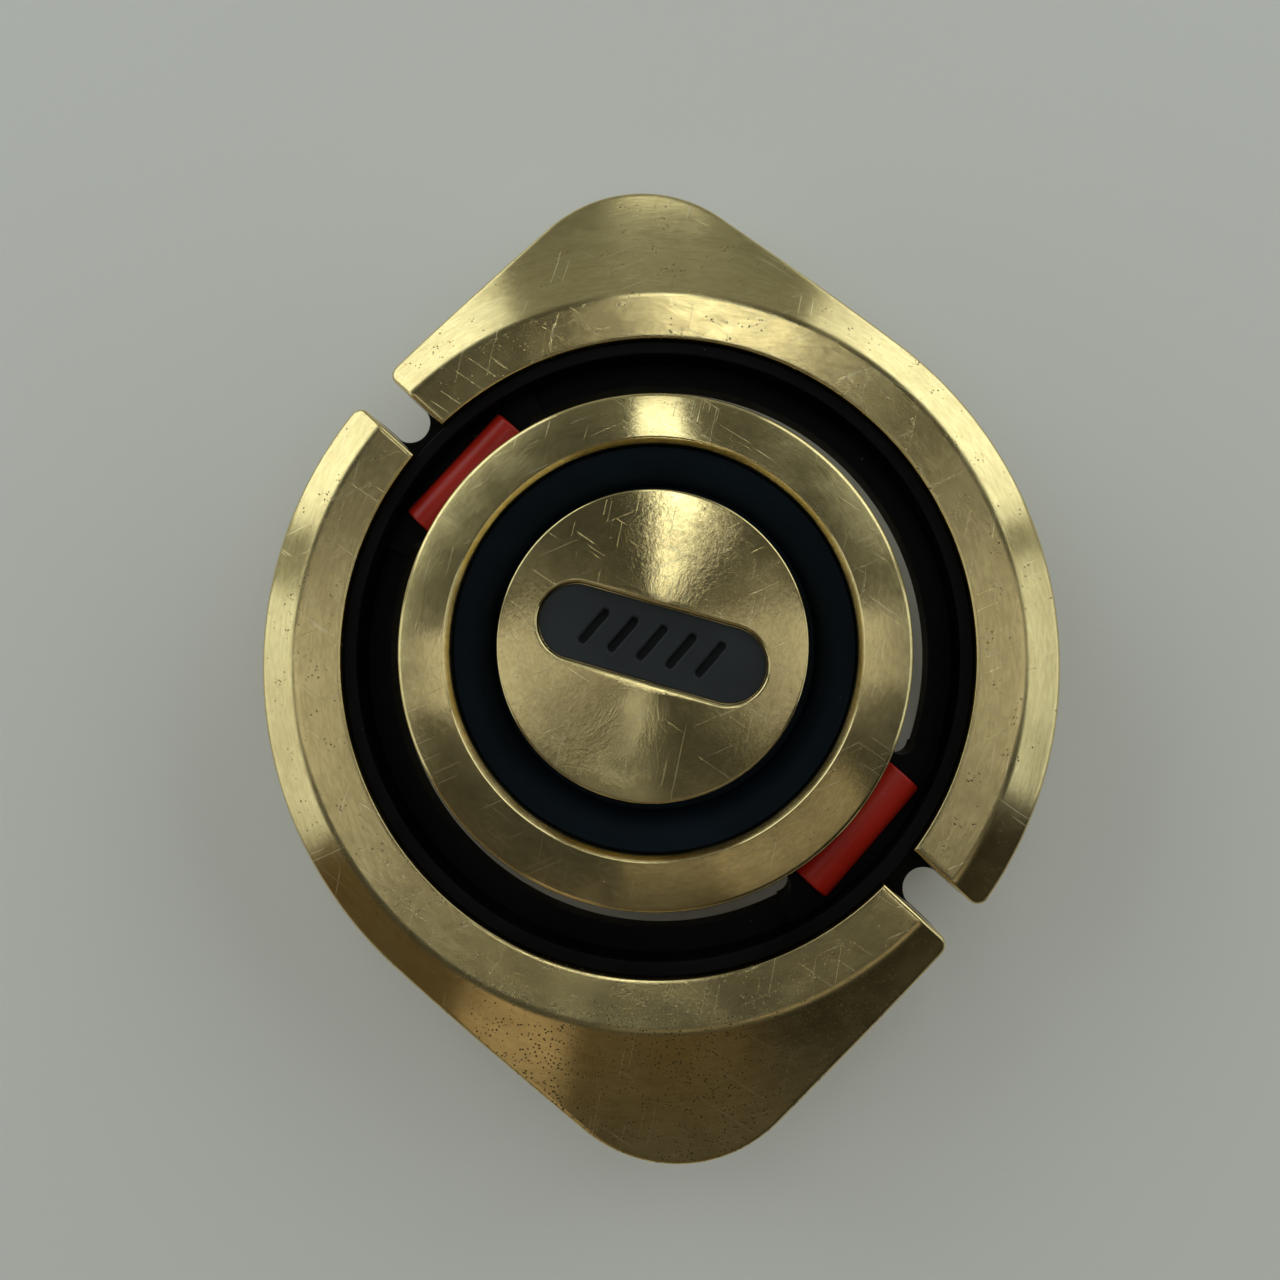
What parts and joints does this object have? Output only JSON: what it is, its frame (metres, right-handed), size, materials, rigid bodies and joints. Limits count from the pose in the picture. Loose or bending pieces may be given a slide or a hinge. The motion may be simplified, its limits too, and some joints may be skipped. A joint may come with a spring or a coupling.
{
  "type": "hand spinner",
  "caption": "Palm-sized brass hand spinner: a finger button on a ball bearing, with a black frame that carries split brass wings ending in two rounded tips.",
  "frame": {"origin": "centre of the rear button's flat face, which the spinner rests on", "axes": "+Z along the spin axis towards the front button, +Y towards one wing tip; the gaps between the wings lie at 135 and 315 degrees"},
  "size_m": [0.04, 0.0492, 0.0112],
  "materials": {
    "brass": "turned and lightly polished, fine concentric lines",
    "black_coat": "satin black coating",
    "dark_dish": "satin blue-black coating",
    "black_inlay": "matt",
    "red_rod": "semi-gloss",
    "steel": "ground",
    "ball_steel": "polished",
    "cage_brass": "pressed"
  },
  "bodies": {
    "grip": {"front_button": "brass", "rear_button": "brass", "front_inlay": "black_inlay", "rear_inlay": "black_inlay", "axle_stud": "steel", "front_washer": "steel", "rear_washer": "steel", "bearing_inner_race": "steel"},
    "rotor": {"spinner_frame": "black_coat", "front_wing_a": "brass", "front_wing_b": "brass", "rear_wing_a": "brass", "rear_wing_b": "brass", "front_hub_ring": "brass", "rear_hub_ring": "brass", "front_lock_ring": "dark_dish", "rear_lock_ring": "dark_dish", "bearing_outer_race": "steel", "front_shield": "steel", "rear_shield": "steel", "front_rod_a": "red_rod", "front_rod_b": "red_rod", "rear_rod_a": "red_rod", "rear_rod_b": "red_rod", "wing_screw_1": "steel", "wing_screw_2": "steel", "wing_screw_3": "steel", "wing_screw_4": "steel", "wing_screw_5": "steel", "wing_screw_6": "steel"},
    "ball_cage": {"ball_cage": "cage_brass", "bearing_ball_01": "ball_steel", "bearing_ball_02": "ball_steel", "bearing_ball_03": "ball_steel", "bearing_ball_04": "ball_steel", "bearing_ball_05": "ball_steel", "bearing_ball_06": "ball_steel", "bearing_ball_07": "ball_steel", "bearing_ball_08": "ball_steel", "bearing_ball_09": "ball_steel", "bearing_ball_10": "ball_steel"}
  },
  "joints": [
    {"name": "rotor_spin", "type": "hinge", "parent": "grip", "child": "rotor", "pos_m": [0, 0, 0.0056], "axis": [0, 0, 1], "continuous": true},
    {"name": "cage_spin", "type": "hinge", "parent": "grip", "child": "ball_cage", "pos_m": [0, 0, 0.0056], "axis": [0, 0, 1], "continuous": true}
  ],
  "couplings": [
    {"joint": "cage_spin", "follows": "rotor_spin", "ratio": 0.5834}
  ]
}
